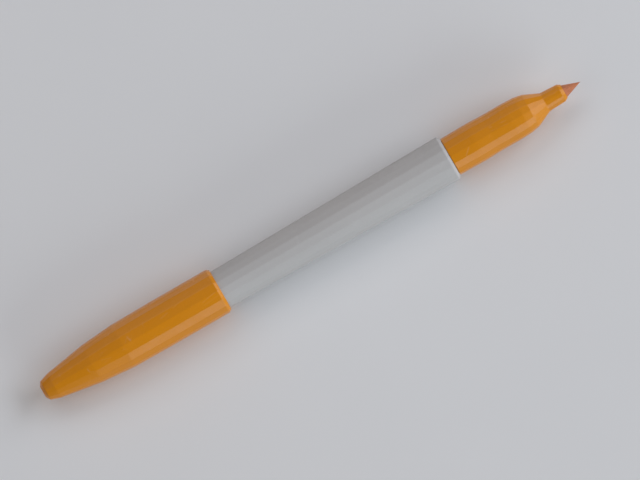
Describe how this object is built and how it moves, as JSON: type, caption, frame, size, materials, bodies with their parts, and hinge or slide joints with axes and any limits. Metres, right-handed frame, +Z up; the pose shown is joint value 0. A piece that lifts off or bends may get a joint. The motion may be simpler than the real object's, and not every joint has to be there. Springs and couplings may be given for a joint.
{
  "type": "felt tip marker",
  "caption": "Felt tip marker with a tapered faceted barrel, bullet-shaped front section, conical fibre nib, and a cap posted on its tail that turns and slides off.",
  "frame": {"origin": "on the table under the middle of the marker's length, at the height of the flat under the cap", "axes": "+X along the axis from the posted cap to the nib, +Z up from the flat that the marker lies on"},
  "size_m": [0.152, 0.0118, 0.0118],
  "materials": {
    "orange_plastic": "satin moulded plastic, coloured through",
    "pale_grey_plastic": "satin moulded plastic, coloured through",
    "natural_plastic": "uncoloured soft plastic",
    "nib_felt": "bonded fibre, inked",
    "inked_fibre": "bonded fibre, soaked with ink",
    "clear_film": "thin clear film"
  },
  "bodies": {
    "marker_body": {"barrel": "pale_grey_plastic", "tail_plug": "orange_plastic", "front_section": "orange_plastic", "nib": "nib_felt", "ink_reservoir": "inked_fibre", "reservoir_film": "clear_film", "breather_tube": "natural_plastic"},
    "cap_carrier": {"cap_liner": "natural_plastic"},
    "cap": {"cap_shell": "orange_plastic"}
  },
  "joints": [
    {"name": "cap_pull", "type": "slide", "parent": "marker_body", "child": "cap_carrier", "axis": [-1, 0, 0], "range_m": [0, 0.019]},
    {"name": "cap_turn", "type": "hinge", "parent": "cap_carrier", "child": "cap", "pos_m": [-0.05, 0, 0.00588], "axis": [1, 0, 0], "continuous": true}
  ]
}
